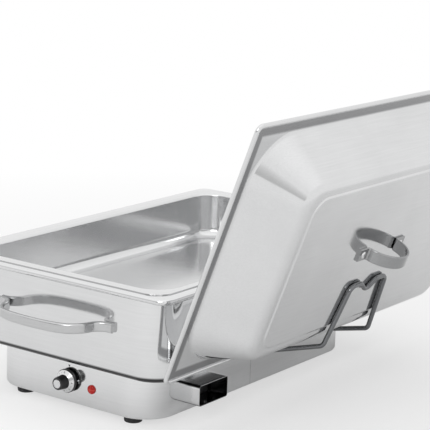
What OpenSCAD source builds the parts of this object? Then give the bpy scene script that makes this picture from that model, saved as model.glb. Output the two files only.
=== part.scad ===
// Electric chafing dish with a lift-off lid parked in a wire holder on its long side.
// Millimetres. X runs to the right across the dish, Y runs from the control end to the rear, Z is up.

/* [Sheet metal] */
// Thickness of the steel sheet
sheet = 1; // [0.8:0.1:1.4]

/* [Water pan] */
// Width over the side walls
pan_w = 322; // [316:1:340]
// Length over the end walls
pan_l = 518; // [500:1:550]
// Height from the floor of the pan to the top of its rim
pan_h = 112; // [100:1:130]
// Radius of the upright corners
pan_corner = 40; // [30:1:55]
// Radius between walls and floor
pan_floor_r = 10; // [6:1:16]
// Reach of the rim beyond the walls
rim_out = 16; // [13:0.5:20]
// Diameter of the bead along the rim
rim_bead_d = 7.5; // [6:0.5:9]
// Radius of the rim's corners
rim_corner = 16; // [12:1:24]

/* [Food pan] */
// Depth below its rim
food_depth = 65; // [40:1:75]
// Rest of its rim on the water pan along the sides
food_lap_side = 2.5; // [1.5:0.5:5]
// Rest of its rim on the water pan at the ends
food_lap_end = 7; // [4:0.5:10]
// Gap between its walls and the water pan
food_gap = 10; // [8:0.5:18]
// Radius of its upright corners
food_corner = 34; // [26:1:46]
// Radius between its walls and floor
food_floor_r = 14; // [8:1:20]

/* [Base] */
// Width of the casing
base_w = 257; // [240:1:290]
// Length of the casing
base_l = 443; // [436:1:470]
// Height of the casing
base_h = 58; // [54:1:80]
// Radius of its upright corners
base_corner = 44; // [36:1:55]
// Distance of its middle in front of the middle of the pan
base_shift = 12; // [0:1:24]
// Width of the turned-in edges
base_lip = 12; // [10:0.5:14]
// Gap at the seam between the two halves
seam_gap = 0.4; // [0.2:0.1:1]
// Distance of the seam in front of the casing's middle
seam_shift = 15; // [0:1:40]
// Width of the straps behind the seam
strap_w = 40; // [20:1:60]

/* [Feet] */
// Diameter of a foot at its top
foot_d = 25; // [20:1:32]
// Height of a foot
foot_h = 9; // [6:0.5:14]
// Distance of a foot's axis from the side of the casing
foot_inset_x = 41.5; // [30:0.5:60]
// Distance of a foot's axis from the end of the casing
foot_inset_y = 19; // [18:0.5:50]
// Diameter of a foot screw
foot_screw_d = 4; // [3:0.5:5]

/* [Heater] */
// Width of the heat spreader
spreader_w = 190; // [170:1:210]
// Length of the heat spreader
spreader_l = 270; // [220:1:290]
// Thickness of the heat spreader
spreader_t = 3; // [2:0.5:5]
// Diameter of the heating element's tube
element_d = 8; // [6:0.5:9]
// Distance between the element's runs
element_pitch = 40; // [34:1:44]
// Length of a straight run
element_run = 200; // [150:1:210]
// Width of a clamp bar
bar_w = 18; // [14:1:24]
// Thickness of a clamp bar
bar_t = 3; // [2:0.5:4]
// Distance between the two clamp bars
bar_pitch = 120; // [80:1:130]
// Diameter of the studs under the pan
stud_d = 4; // [3:0.5:5]
// Diameter of the thermal cut-out
cutout_d = 16; // [12:1:20]

/* [Controls] */
// Height of the knob's axis above the lower edge of the casing
knob_up = 28.5; // [26:0.5:32]
// Diameter of the dial
dial_d = 30; // [28:1:40]
// Thickness of the knob's skirt
skirt_t = 3.5; // [2.5:0.5:5]
// Diameter of the grip at its root
grip_d = 20; // [16:0.5:22]
// Length of the grip
grip_l = 16; // [12:1:22]
// Gap between the knob and the casing
knob_gap = 3; // [2.5:0.5:5]
// Diameter of the thermostat's shaft
shaft_d = 6; // [5:0.5:7]
// Depth of the thermostat behind the casing
thermostat_depth = 30; // [24:1:40]
// Distance between the thermostat's screws
thermostat_pitch = 26; // [24:0.5:28]
// Distance of the lamp to the right of the knob
lamp_x = 36.5; // [32:0.5:60]
// Height of the lamp above the lower edge of the casing
lamp_up = 24; // [20:0.5:36]
// Diameter of the lamp's lens
lamp_d = 11.5; // [10.5:0.5:14]

/* [Mains inlet] */
// Distance of the inlet in front of the middle of the casing
inlet_y = 136.5; // [60:0.5:145]
// Height of the inlet's middle above the lower edge of the casing
inlet_up = 28; // [24:0.5:34]
// Width of the shroud
shroud_w = 58.5; // [56:0.5:64]
// Height of the shroud
shroud_h = 26.5; // [26.5:0.5:36]
// Reach of the shroud from the casing
shroud_out = 30; // [20:1:40]
// Corner radius of the shroud
shroud_corner = 4; // [2:0.5:6]

/* [Pan handles] */
// Distance between a handle's two screws
grip_span = 160; // [154:1:176]
// Distance of the bow's middle from the wall
grip_bow = 50; // [44:1:60]
// Drop of the bow from its middle to its shoulders
grip_drop = 8; // [4:0.5:12]
// Distance between the bow's shoulders
shoulder_span = 126; // [110:1:130]
// Radius of the shoulders
shoulder_r = 14; // [10:1:18]
// Radius between a shoulder's leg and its foot
root_r = 9; // [7:0.5:11]
// Length of a foot beyond its screw
foot_past = 10; // [7:0.5:14]
// Thickness of the handle's section
bar_depth = 6; // [5:0.5:8]
// Height of the handle's section
bar_height = 12.5; // [10:0.5:16]
// Height of the handles above the pan's floor
grip_up = 60.5; // [56:0.5:70]
// Diameter of a handle screw
grip_screw_d = 4; // [3:0.5:5]

/* [Lid] */
// Distance of the lid's edge inside the edge of the rim when it is shut
lid_in = 8; // [6:0.5:10]
// Width of the flat flange, its rolled edge included
flange_w = 19; // [16:0.5:24]
// Diameter of the rolled edge
lid_bead_d = 5.5; // [4:0.5:6]
// Radius of the flange's corners
flange_corner = 10; // [6:0.5:20]
// Height of the dome above the flange
dome_h = 63; // [50:1:70]
// Slope of the dome's walls from upright
dome_slope = 30; // [20:1:34]
// Corner radius of the dome where it leaves the flange
dome_corner = 62; // [58:1:80]
// Radius between the dome's walls and its top
dome_top_r = 14; // [10:0.5:16]
// Radius between the dome's walls and the flange
dome_root_r = 5; // [3:0.5:8]
// Distance of the raised panel from the walls' upper edge
emboss_in = 13.5; // [13:0.5:30]
// Height of the raised panel
emboss_h = 1.5; // [0.8:0.1:2]
// Corner radius of the raised panel
emboss_corner = 24; // [16:1:40]

/* [Lid handle] */
// Distance between the two feet of the strap
strap_span = 84; // [76:1:100]
// Height of the strap over the lid
strap_rise = 36; // [34:0.5:42]
// Width of the strap
strap_b = 16; // [12:0.5:20]
// Thickness of the strap
strap_t = 3; // [2:0.5:4]
// Length of a foot
strap_foot = 18; // [14:1:24]
// Diameter of a rivet
rivet_d = 5; // [4:0.5:6]

/* [Lid holder] */
// Diameter of the wire
wire_d = 6; // [5:0.5:7]
// Inner radius of the wire's bends
wire_bend = 6; // [5:0.5:8]
// Distance between the two brackets
bracket_pitch = 154; // [130:1:180]
// Distance of the holder's middle in front of the middle of the pan
holder_shift = 20; // [0:1:40]
// Height of the brackets' top above the pan's floor
bracket_up = 68; // [60:1:70]
// Height of a bracket
bracket_h = 24; // [18:1:26]
// Width of a bracket
bracket_w = 20; // [16:1:26]
// Thickness of a bracket
bracket_t = 1.2; // [1:0.1:1.5]
// Reach of the hooks from bracket to leg
hook_out = 22; // [19:0.5:26]
// Distance of the cradle's lowest bend from the wall
cradle_out = 14.5; // [13.5:0.5:20]
// Height of the cradle's lowest bend above the pan's floor
cradle_up = 10; // [4:0.5:14]
// Rise of the cradle's outer run
cradle_rise = 14; // [8:0.5:18]
// Distance between the cradle's bends at the wall
cradle_span = 134; // [110:1:150]
// Distance between the props' lower ends
prop_low_span = 104; // [84:1:120]
// Distance between the props' upper ends
prop_top_span = 80; // [66:1:94]
// Length of a prop
prop_l = 82; // [74:1:96]
// Depth of the dip in the top bar
dip = 10; // [9:0.5:14]
// Width of the dip in the top bar
dip_w = 34; // [30:1:40]

/* [Parked lid] */
// Lean of the parked lid from upright
park_lean = 20.5; // [16:0.5:26]
// Distance of the lid's middle in front of the middle of the pan
park_shift = 20; // [0:1:30]
// Distance of the lid's lower edge along the cradle from its lowest bend
park_in = 13; // [13:0.5:17]

/* [Hidden] */
$fn = 64;
// Clearances: of resting and sliding pieces, of running fits, and of screws in their holes
rest_gap = 0.3;
run_gap = 0.05;
hole_gap = 0.2;

base_top = foot_h + base_h;
rim_top = base_top + pan_h;
rim_w = pan_w + 2 * rim_out;
rim_l = pan_l + 2 * rim_out;
rim_bead_r = rim_bead_d / 2;

food_rim_w = pan_w - 2 * sheet + 2 * food_lap_side;
food_rim_l = pan_l - 2 * sheet + 2 * food_lap_end;
food_w = pan_w - 2 * sheet - 2 * food_gap;
food_l = pan_l - 2 * sheet - 2 * food_gap;
food_rim_corner = food_corner * 0.7;

base_y = -base_shift;
front_y = base_y - base_l / 2;
seam_y = base_y - seam_shift;
side_x = base_w / 2;
inner_front_y = front_y + sheet;
foot_x = side_x - foot_inset_x;
foot_y = base_l / 2 - foot_inset_y;
plate_gap = 0.3;
foot_taper = 1.5;
foot_recess_d = 2.4 * foot_screw_d;
foot_recess = foot_h * 0.45;
// Fasteners: sizes per diameter, and the thread that stands out past a nut
screw_head = 0.55;
head_over = 1.9;
head_top_over = 1.4;
nut_over = 1.8;
nut_high = 0.8;
thread_past = 2;
foot_screw_l = foot_h - foot_recess + sheet + nut_high * foot_screw_d + thread_past;

spreader_shift = 20;
spreader_y = base_y + spreader_shift;
spreader_z = base_top - spreader_t;
element_r = element_d / 2;
element_z = spreader_z - element_r;
element_runs = 4;
bar_z = element_z - element_r - bar_t;
bar_l = element_pitch * (element_runs - 1) + element_d + 10;
heater_stud_x = element_pitch;
pan_stud_y = base_l / 2 - base_lip / 2 - sheet / 2;
pan_stud_x = base_w / 4;
cutout_h = 9;
pin_d = 2.5;
pin_l = 12;

knob_z = foot_h + knob_up;
lamp_z = foot_h + lamp_up;
skirt_y = front_y - knob_gap;
dial_t = 0.8;
dial_edge = 0.75;
dial_y = skirt_y - skirt_t;
grip_tip_d = grip_d * 0.8;
cap_d = grip_d * 0.62;
cap_t = 1.5;
bush_d = shaft_d + 3.5;
bush_out = knob_gap - 1;
thermostat_w = 42;
thermostat_h = 34;
thermostat_screw_d = 3.5;
shaft_in = 12;
shaft_room = 1;
shaft_grip = 10;
bulb_d = 6;
bulb_l = 90;
capillary_d = 2;
lamp_body_d = lamp_d - 3;
lamp_body_l = 22;
lamp_ring_t = 1;
lens_rise = 2.5;

inlet_z = foot_h + inlet_up;
inlet_at_y = base_y - inlet_y;
socket_w = 50;
socket_h = 24;
socket_flange = 3;
socket_body_w = 30;
socket_body_h = 21;
socket_body_l = 22;
socket_mouth_w = 24.4;
socket_mouth_h = 16.4;
socket_mouth_cut = 4.5;
socket_depth = 16;
blade_w = 4;
blade_t = 2;
blade_l = 14;
blade_pitch = 7;
blade_drop = 2;
socket_screw_pitch = 40;
socket_screw_d = 3.5;

grip_z = base_top + grip_up;
bow_r = 300;
leg_splay = 6;
// Metal left at the end of a screw's blind hole, and the room left in front of the screw
blind_floor = 1.5;
blind_room = 0.5;
grip_screw_in = bar_depth - blind_floor;
washer_t = 1;
washer_d = 2.2 * grip_screw_d;
section_r = 2;

lid_w = rim_w - 2 * lid_in;
lid_l = rim_l - 2 * lid_in;
lid_bead_r = lid_bead_d / 2;
dome_w = lid_w - 2 * flange_w;
dome_l = lid_l - 2 * flange_w;
dome_in = dome_h * tan(dome_slope);
panel_w = dome_w - 2 * dome_in;
panel_l = dome_l - 2 * dome_in;
top_tangent = dome_top_r * tan((90 - dome_slope) / 2);
root_tangent = dome_root_r * tan((90 - dome_slope) / 2);
emboss_w = panel_w - 2 * emboss_in;
emboss_l = panel_l - 2 * emboss_in;
emboss_z = dome_h + emboss_h;
dome_lap = 3;

arch_half = strap_span / 2 - strap_foot / 2;
arch_r = (arch_half * arch_half + strap_rise * strap_rise) / (2 * strap_rise);
rivet_head_d = head_over * rivet_d;
rivet_head = 2;

wire_r = wire_d / 2;
bend_r = wire_bend + wire_r;
wall_x = pan_w / 2;
bracket_top = base_top + bracket_up;
hook_x = wall_x + rest_gap + wire_r;
// The hook's bend sits on the bracket's lip, a little above its inner edge
hook_sit = sqrt(pow(wire_bend - hole_gap, 2) - pow(wire_bend - rest_gap, 2));
hook_top = bracket_top + bend_r - hook_sit;
hook_end = bracket_top - bracket_h + wire_r;
cradle = [wall_x + cradle_out, base_top + cradle_up];
run_dir = [cos(cradle_rise), sin(cradle_rise)];
run_up = [-sin(cradle_rise), cos(cradle_rise)];
lid_up = [sin(park_lean), cos(park_lean)];
lid_out = [cos(park_lean), -sin(park_lean)];
// Centre of the lid's lower rolled edge, and the lid's outer corner below it
park_bead = cradle + park_in * run_dir + (wire_r + lid_bead_r + rest_gap) * run_up;
park_low = park_bead - lid_bead_r * lid_up;
prop_off = emboss_z + wire_r + rest_gap;
prop_reach = (prop_off - (cradle - park_low) * lid_out) / (run_dir * lid_out);
prop_low = cradle + prop_reach * run_dir;
prop_top = prop_low + prop_l * lid_up;
dip_low = prop_top - dip * lid_up;

// The frame's origin lies under the middle of the whole, with the lid parked
dome_edge = lid_w - flange_w - dome_in - top_tangent;
dome_x = park_low.x + dome_edge * lid_up.x + (dome_h - dome_top_r) * lid_out.x + dome_top_r;
strap_x = park_low.x + (lid_w + strap_b) / 2 * lid_up.x + (emboss_z + strap_rise) * lid_out.x;
right_x = max(dome_x, strap_x);
left_x = -rim_w / 2;
frame_x = -(left_x + right_x) / 2;

steel = [0.78, 0.79, 0.80];
bright = [0.86, 0.86, 0.87];
dark_steel = [0.45, 0.46, 0.48];
black = [0.06, 0.06, 0.07];
red = [0.85, 0.12, 0.08];
alloy = [0.70, 0.71, 0.73];

// Shapes that several pieces share

module at_frame() {
    translate([frame_x, 0, 0]) children();
}

module rounded_rect(w, l, r) {
    square([w - 2 * r, l], center = true);
    square([w, l - 2 * r], center = true);
    for (x = [-1, 1], y = [-1, 1]) translate([x * (w / 2 - r), y * (l / 2 - r)]) circle(r);
}

module frame_plate(w, l, r, hole_w, hole_l, hole_r, t) {
    linear_extrude(t) difference() {
        rounded_rect(w, l, r);
        rounded_rect(hole_w, hole_l, hole_r);
    }
}

// Sweeps a profile round a rounded rectangle: its x is the distance outwards, its y is the height
module around(w, l, r) {
    for (side = [0, 1]) {
        rotate(180 * side) translate([w / 2, 0, 0]) rotate([90, 0, 0])
            linear_extrude(l - 2 * r, center = true) children();
        rotate(90 + 180 * side) translate([l / 2, 0, 0]) rotate([90, 0, 0])
            linear_extrude(w - 2 * r, center = true) children();
    }
    for (turn = [0:3]) {
        x = (turn == 0 || turn == 3) ? 1 : -1;
        y = turn < 2 ? 1 : -1;
        translate([x * (w / 2 - r), y * (l / 2 - r), 0]) rotate(90 * turn)
            rotate_extrude(angle = 90) translate([r, 0]) children();
    }
}

module arc_band(centre, r_in, r_out, from, to) {
    reach = 2 * r_out;
    translate(centre) intersection() {
        difference() {
            circle(r_out);
            circle(r_in);
        }
        polygon([[0, 0], for (a = [from, (from + to) / 2, to]) reach * [cos(a), sin(a)]]);
    }
}

function unit(v) = v / norm(v);

// Carries an outline along stations of [point, direction], starting with its x axis along "across"
module sweep(stations, across, outline) {
    sides = len(outline);
    last = len(stations) - 1;
    level = function(n, d) unit(n - (n * d) * d);
    axes = [for (i = 0, n = level(across, stations[0][1]); i <= last;
        i = i + 1, n = i <= last ? level(n, stations[i][1]) : n) n];
    points = [for (i = [0 : last], p = outline)
        stations[i][0] + p.x * axes[i] + p.y * cross(stations[i][1], axes[i])];
    walls = [for (i = [0 : last - 1], k = [0 : sides - 1]) let(
        a = i * sides + k,
        b = i * sides + (k + 1) % sides
    ) each [[a, a + sides, b + sides], [a, b + sides, b]]];
    ends = [[for (k = [0 : sides - 1]) k], [for (k = [sides - 1 : -1 : 0]) last * sides + k]];
    polyhedron(points, concat(walls, ends));
}

// Stations round one corner of a path
function corner_stations(a, b, c, r) = let(
    before = unit(b - a),
    after = unit(c - b),
    turn = acos(before * after),
    inward = cross(unit(cross(before, after)), before),
    centre = b - r * tan(turn / 2) * before + r * inward,
    steps = max(4, ceil(turn / 15))
) [for (i = [0 : steps]) let(t = turn * i / steps)
    [centre + r * (sin(t) * before - cos(t) * inward), cos(t) * before + sin(t) * inward]];

// Stations along a path whose inner corners have the given radii
function path_stations(path, radii) = let(last = len(path) - 1) concat(
    [[path[0], unit(path[1] - path[0])]],
    [for (i = [1 : last - 1]) each corner_stations(path[i - 1], path[i], path[i + 1], radii[i - 1])],
    [[path[last], unit(path[last] - path[last - 1])]]
);

// Wall of a drawn pan from its floor's bend up, with its outer face at x = 0
module pan_wall_profile(depth, floor_r) {
    translate([-sheet, floor_r]) square([sheet, depth - floor_r]);
    arc_band([-floor_r, floor_r], floor_r - sheet, floor_r, 270, 360);
}

module drawn_pan(w, l, corner, depth, floor_r) {
    around(w, l, corner) pan_wall_profile(depth, floor_r);
    linear_extrude(sheet) rounded_rect(w - 2 * floor_r, l - 2 * floor_r, corner - floor_r);
}

module nut(d, bore) {
    difference() {
        cylinder(d = nut_over * d, h = nut_high * d, $fn = 6);
        translate([0, 0, -1]) cylinder(d = bore, h = nut_high * d + 2);
    }
}

// Screw with its head's underside at z = 0 and its shank downwards
module pan_screw(d, l) {
    translate([0, 0, -l]) cylinder(d = d, h = l);
    cylinder(d1 = head_over * d, d2 = head_top_over * d, h = screw_head * d);
}

module each_foot() {
    for (x = [-1, 1], y = [-1, 1]) translate([x * foot_x, base_y + y * foot_y, 0]) children();
}

module each_pan_stud() {
    for (x = [-1, 1], y = [-1, 1]) translate([x * pan_stud_x, base_y + y * pan_stud_y, 0]) children();
}

module each_clamp_stud() {
    for (x = [-1, 1], y = [-1, 1])
        translate([x * heater_stud_x, spreader_y + y * bar_pitch / 2, 0]) children();
}

module each_grip_screw() {
    for (y = [-1, 1], x = [-1, 1]) translate([x * grip_span / 2, y * pan_l / 2, grip_z])
        rotate([-90 * y, 0, 0]) children();
}

// Puts the z axis along the inlet's axis, out of the casing's side, with x along the casing's length
module at_inlet() {
    translate([side_x, inlet_at_y, inlet_z]) rotate([90, 0, 90]) children();
}

// Puts the z axis out of the front of the casing, through the knob's axis
module at_knob() {
    translate([0, front_y, knob_z]) rotate([90, 0, 0]) children();
}

module at_lamp() {
    translate([lamp_x, front_y, lamp_z]) rotate([90, 0, 0]) children();
}

// Puts a lid that lies flat, flange down, where it is parked
module at_park() {
    translate([park_low.x, -park_shift, park_low.y]) rotate([0, 90 + park_lean, 0])
        translate([-lid_w / 2, 0, 0]) children();
}

// Casing

module base_ring(z, t, lip) {
    translate([0, 0, z]) frame_plate(base_w - sheet, base_l - sheet, base_corner - sheet / 2,
        base_w - 2 * lip, base_l - 2 * lip, base_corner - lip, t);
}

module base_casing() {
    translate([0, base_y, 0]) difference() {
        union() {
            translate([0, 0, foot_h]) frame_plate(base_w, base_l, base_corner,
                base_w - 2 * sheet, base_l - 2 * sheet, base_corner - sheet, base_h);
            base_ring(base_top - sheet, sheet, base_lip);
            base_ring(foot_h + sheet, sheet, base_lip);
        }
        translate([0, -base_y, 0]) each_pan_stud()
            cylinder(d = stud_d + 2 * hole_gap, h = base_top + 1);
    }
}

// All that lies on one side of the seam: the rear for +1, the front for -1
module beyond_seam(side) {
    reach = 2 * base_l;
    edge = seam_y - side * seam_gap / 2;
    translate([-reach / 2, side > 0 ? edge : edge - reach, -1]) cube([reach, reach, base_top + 2]);
}

module base_front() {
    color(steel) at_frame() difference() {
        base_casing();
        beyond_seam(1);
        at_knob() {
            translate([0, 0, -2 * sheet]) cylinder(d = bush_d + 2 * hole_gap, h = 3 * sheet);
            for (x = [-1, 1]) translate([x * thermostat_pitch / 2, 0, -2 * sheet])
                cylinder(d = thermostat_screw_d + 2 * hole_gap, h = 3 * sheet);
        }
        at_lamp() translate([0, 0, -2 * sheet]) cylinder(d = lamp_body_d + 2 * hole_gap, h = 3 * sheet);
        at_inlet() {
            body_gap = 2 * hole_gap;
            translate([0, 0, -sheet / 2])
                cube([socket_body_w + body_gap, socket_body_h + body_gap, 3 * sheet], center = true);
            for (x = [-1, 1]) translate([x * socket_screw_pitch / 2, 0, -2 * sheet])
                cylinder(d = socket_screw_d + 2 * hole_gap, h = 3 * sheet);
        }
    }
}

module base_rear() {
    color(steel) at_frame() difference() {
        base_casing();
        beyond_seam(-1);
    }
}

module seam_straps() {
    strap_h = base_h - 4 * sheet;
    color(steel) at_frame() for (s = [-1, 1])
        translate([s * (side_x - 1.5 * sheet), seam_y, foot_h + 2 * sheet + strap_h / 2])
            cube([sheet, strap_w, strap_h], center = true);
}

module base_plate() {
    inset = sheet + plate_gap;
    color(steel) at_frame() difference() {
        translate([0, base_y, foot_h]) linear_extrude(sheet)
            rounded_rect(base_w - 2 * inset, base_l - 2 * inset, base_corner - inset);
        each_foot() cylinder(d = foot_screw_d + 2 * hole_gap, h = base_top);
    }
}

module rubber_feet() {
    color(black) at_frame() each_foot() difference() {
        cylinder(d1 = foot_d - 2 * foot_taper, d2 = foot_d, h = foot_h);
        translate([0, 0, -1]) cylinder(d = foot_screw_d + 2 * hole_gap, h = foot_h + 2);
        translate([0, 0, -1]) cylinder(d = foot_recess_d, h = foot_recess + 1);
    }
}

module foot_screws() {
    color(alloy) at_frame() each_foot() translate([0, 0, foot_recess]) mirror([0, 0, 1])
        pan_screw(foot_screw_d, foot_screw_l);
}

module foot_nuts() {
    color(alloy) at_frame() each_foot() translate([0, 0, foot_h + sheet])
        nut(foot_screw_d, foot_screw_d + 2 * run_gap);
}

// Water pan and what hangs under it

module water_pan() {
    bead_at = rim_out - rim_bead_r;
    color(steel) at_frame() difference() {
        translate([0, 0, base_top]) {
            drawn_pan(pan_w, pan_l, pan_corner, pan_h, pan_floor_r);
            translate([0, 0, pan_h - sheet]) frame_plate(rim_w - 2 * rim_bead_r, rim_l - 2 * rim_bead_r,
                rim_corner - rim_bead_r, pan_w - sheet, pan_l - sheet, pan_corner - sheet / 2, sheet);
            around(rim_w, rim_l, rim_corner) translate([-rim_bead_r, pan_h - rim_bead_r]) difference() {
                circle(rim_bead_r);
                circle(rim_bead_r - sheet);
            }
        }
        each_grip_screw() translate([0, 0, -2 * sheet])
            cylinder(d = grip_screw_d + 2 * hole_gap, h = 3 * sheet);
    }
}

module pan_studs() {
    stud_l = sheet + nut_high * stud_d + thread_past;
    color(alloy) at_frame() each_pan_stud() translate([0, 0, base_top - stud_l])
        cylinder(d = stud_d, h = stud_l);
}

module pan_nuts() {
    color(alloy) at_frame() each_pan_stud() translate([0, 0, base_top - sheet - nut_high * stud_d])
        nut(stud_d, stud_d + 2 * run_gap);
}

module heat_spreader() {
    color(alloy) at_frame() difference() {
        translate([0, spreader_y, spreader_z]) linear_extrude(spreader_t)
            rounded_rect(spreader_w, spreader_l, base_lip);
        each_clamp_stud() cylinder(d = stud_d + 2 * hole_gap, h = base_top + 1);
    }
}

module heating_element() {
    run_x = function(i) (i - (element_runs - 1) / 2) * element_pitch;
    color(dark_steel) at_frame() translate([0, spreader_y, element_z]) {
        for (i = [0 : element_runs - 1]) translate([run_x(i), 0, 0]) rotate([90, 0, 0])
            cylinder(r = element_r, h = element_run, center = true);
        for (i = [0 : element_runs - 2]) {
            back = i % 2 == 0;
            translate([run_x(i) + element_pitch / 2, (back ? 1 : -1) * element_run / 2, 0])
                rotate(back ? 0 : 180) rotate_extrude(angle = 180)
                    translate([element_pitch / 2, 0]) circle(element_r);
        }
        for (i = [0, element_runs - 1]) translate([run_x(i), -element_run / 2, 0]) rotate([90, 0, 0])
            cylinder(d = pin_d, h = pin_l);
    }
}

module clamp_bars() {
    color(steel) at_frame() difference() {
        for (s = [-1, 1]) translate([-bar_l / 2, spreader_y + s * bar_pitch / 2 - bar_w / 2, bar_z])
            cube([bar_l, bar_w, bar_t]);
        each_clamp_stud() cylinder(d = stud_d + 2 * hole_gap, h = base_top + 1);
    }
}

module clamp_studs() {
    stud_low = bar_z - nut_high * stud_d - thread_past;
    color(alloy) at_frame() each_clamp_stud() translate([0, 0, stud_low])
        cylinder(d = stud_d, h = base_top - stud_low);
}

module clamp_nuts() {
    color(alloy) at_frame() each_clamp_stud() translate([0, 0, bar_z - nut_high * stud_d])
        nut(stud_d, stud_d + 2 * run_gap);
}

module thermal_cutout() {
    tab_w = 6;
    tab_t = 0.8;
    tab_l = 8;
    tab_lap = 1;
    color(dark_steel) at_frame() translate([0, spreader_y, spreader_z - cutout_h]) {
        cylinder(d = cutout_d, h = cutout_h);
        for (s = [-1, 1]) translate([s * cutout_d / 4, 0, (tab_lap - tab_l) / 2])
            cube([tab_t, tab_w, tab_l + tab_lap], center = true);
    }
}

// Controls on the front

module thermostat() {
    color(dark_steel) at_frame() at_knob() difference() {
        union() {
            translate([-thermostat_w / 2, -thermostat_h / 2, -sheet - thermostat_depth])
                cube([thermostat_w, thermostat_h, thermostat_depth]);
            translate([0, 0, -sheet - 1]) cylinder(d = bush_d, h = sheet + 1 + bush_out);
        }
        translate([0, 0, -sheet - shaft_in])
            cylinder(d = shaft_d + 2 * run_gap, h = shaft_in + 2 * knob_gap);
        for (x = [-1, 1]) translate([x * thermostat_pitch / 2, 0, -sheet - shaft_in])
            cylinder(d = thermostat_screw_d + 2 * run_gap, h = shaft_in + 1);
    }
}

module thermostat_screws() {
    head_t = 1.5;
    head_d = 1.7 * thermostat_screw_d;
    shank = shaft_in - 2 * shaft_room;
    color(alloy) at_frame() at_knob() for (x = [-1, 1]) translate([x * thermostat_pitch / 2, 0, 0]) {
        translate([0, 0, -sheet - shank]) cylinder(d = thermostat_screw_d, h = shank + sheet);
        cylinder(d = head_d, h = head_t);
    }
}

module thermostat_shaft() {
    color(alloy) at_frame() at_knob() translate([0, 0, -sheet - shaft_in + shaft_room])
        cylinder(d = shaft_d, h = sheet + shaft_in - shaft_room + knob_gap + shaft_grip);
}

module knob() {
    bore_l = shaft_grip + run_gap;
    root_lap = 0.5;
    color(black) at_frame() at_knob() translate([0, 0, knob_gap]) difference() {
        union() {
            cylinder(d = dial_d, h = skirt_t);
            translate([0, 0, skirt_t - root_lap])
                cylinder(d1 = grip_d, d2 = grip_tip_d, h = grip_l + root_lap);
        }
        translate([0, 0, -1]) cylinder(d = shaft_d + 2 * run_gap, h = bore_l + 1);
        translate([0, 0, skirt_t + grip_l - cap_t / 2]) cylinder(d = cap_d + 2 * run_gap, h = cap_t);
    }
}

module dial_face() {
    color(bright) at_frame() at_knob() translate([0, 0, knob_gap + skirt_t]) difference() {
        cylinder(d = dial_d - 2 * dial_edge, h = dial_t);
        translate([0, 0, -1]) cylinder(d = grip_d + 2 * run_gap, h = dial_t + 2);
    }
}

module knob_cap() {
    color(bright) at_frame() at_knob() translate([0, 0, knob_gap + skirt_t + grip_l - cap_t / 2])
        cylinder(d = cap_d, h = cap_t);
}

// The bulb lies along the spreader's edge under the pan, and its thin tube runs back to the thermostat
module thermostat_bulb() {
    bulb_x = spreader_w / 2 - element_d;
    bulb_z = spreader_z - bulb_d / 2;
    bulb_y = spreader_y - spreader_l / 2 + 10;
    tube_y = inner_front_y + thermostat_depth + 6;
    tube_r = capillary_d / 2;
    exit_x = thermostat_w / 2 - 6;
    color(alloy) at_frame() {
        translate([bulb_x, bulb_y + bulb_l, bulb_z]) rotate([90, 0, 0]) cylinder(d = bulb_d, h = bulb_l);
        translate([bulb_x, bulb_y + 1, bulb_z]) rotate([90, 0, 0])
            cylinder(r = tube_r, h = bulb_y + 1 - tube_y);
        translate([bulb_x, tube_y, bulb_z]) sphere(tube_r);
        translate([exit_x, tube_y, bulb_z]) rotate([0, 90, 0]) cylinder(r = tube_r, h = bulb_x - exit_x);
        translate([exit_x, tube_y, bulb_z]) sphere(tube_r);
        translate([exit_x, tube_y, knob_z]) cylinder(r = tube_r, h = bulb_z - knob_z);
        translate([exit_x, tube_y, knob_z]) sphere(tube_r);
        translate([exit_x, inner_front_y + thermostat_depth, knob_z]) rotate([-90, 0, 0])
            cylinder(r = tube_r, h = tube_y - inner_front_y - thermostat_depth);
    }
}

module lamp_lens() {
    edge = 1;
    color(red) at_frame() at_lamp() {
        cylinder(d = lamp_d, h = edge);
        translate([0, 0, edge]) rotate_extrude() intersection() {
            translate([0, lens_rise / 2 - pow(lamp_d / 2, 2) / (2 * lens_rise)])
                circle(pow(lamp_d / 2, 2) / (2 * lens_rise) + lens_rise / 2);
            square([lamp_d / 2, lens_rise]);
        }
    }
}

module lamp_body() {
    ring_d = lamp_d + 4;
    color(black) at_frame() at_lamp() {
        translate([0, 0, -lamp_body_l]) cylinder(d = lamp_body_d, h = lamp_body_l);
        translate([0, 0, -sheet - lamp_ring_t]) cylinder(d = ring_d, h = lamp_ring_t);
    }
}

// Mains inlet on the side

module inlet_shroud() {
    color(bright) at_frame() at_inlet() frame_plate(shroud_w, shroud_h, shroud_corner,
        shroud_w - 2 * sheet, shroud_h - 2 * sheet, shroud_corner - sheet, shroud_out);
}

module socket_mouth(z, h) {
    w = socket_mouth_w / 2;
    d = socket_mouth_h / 2;
    c = socket_mouth_cut;
    translate([0, 0, z]) linear_extrude(h)
        polygon([[-w, -d], [w, -d], [w, d - c], [w - c, d], [-w + c, d], [-w, d - c]]);
}

module inlet_socket() {
    color(black) at_frame() at_inlet() difference() {
        union() {
            linear_extrude(socket_flange) rounded_rect(socket_w, socket_h, shroud_corner - sheet);
            translate([-socket_body_w / 2, -socket_body_h / 2, -socket_body_l])
                cube([socket_body_w, socket_body_h, socket_body_l + 1]);
        }
        socket_mouth(socket_flange - socket_depth, socket_depth + 1);
        for (x = [-1, 1]) translate([x * socket_screw_pitch / 2, 0, -1])
            cylinder(d = socket_screw_d + 2 * hole_gap, h = socket_flange + 2);
    }
}

module inlet_pins() {
    pin_at = [[-blade_pitch, -blade_drop], [0, blade_drop], [blade_pitch, -blade_drop]];
    color(bright) at_frame() at_inlet() for (p = pin_at)
        translate([p.x - blade_t / 2, p.y - blade_w / 2, socket_flange - socket_depth])
            cube([blade_t, blade_w, blade_l]);
}

module inlet_screws() {
    color(bright) at_frame() at_inlet() for (x = [-1, 1])
        translate([x * socket_screw_pitch / 2, 0, socket_flange])
            pan_screw(socket_screw_d, socket_flange + 3 * sheet);
}

// Handles of the water pan

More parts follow.
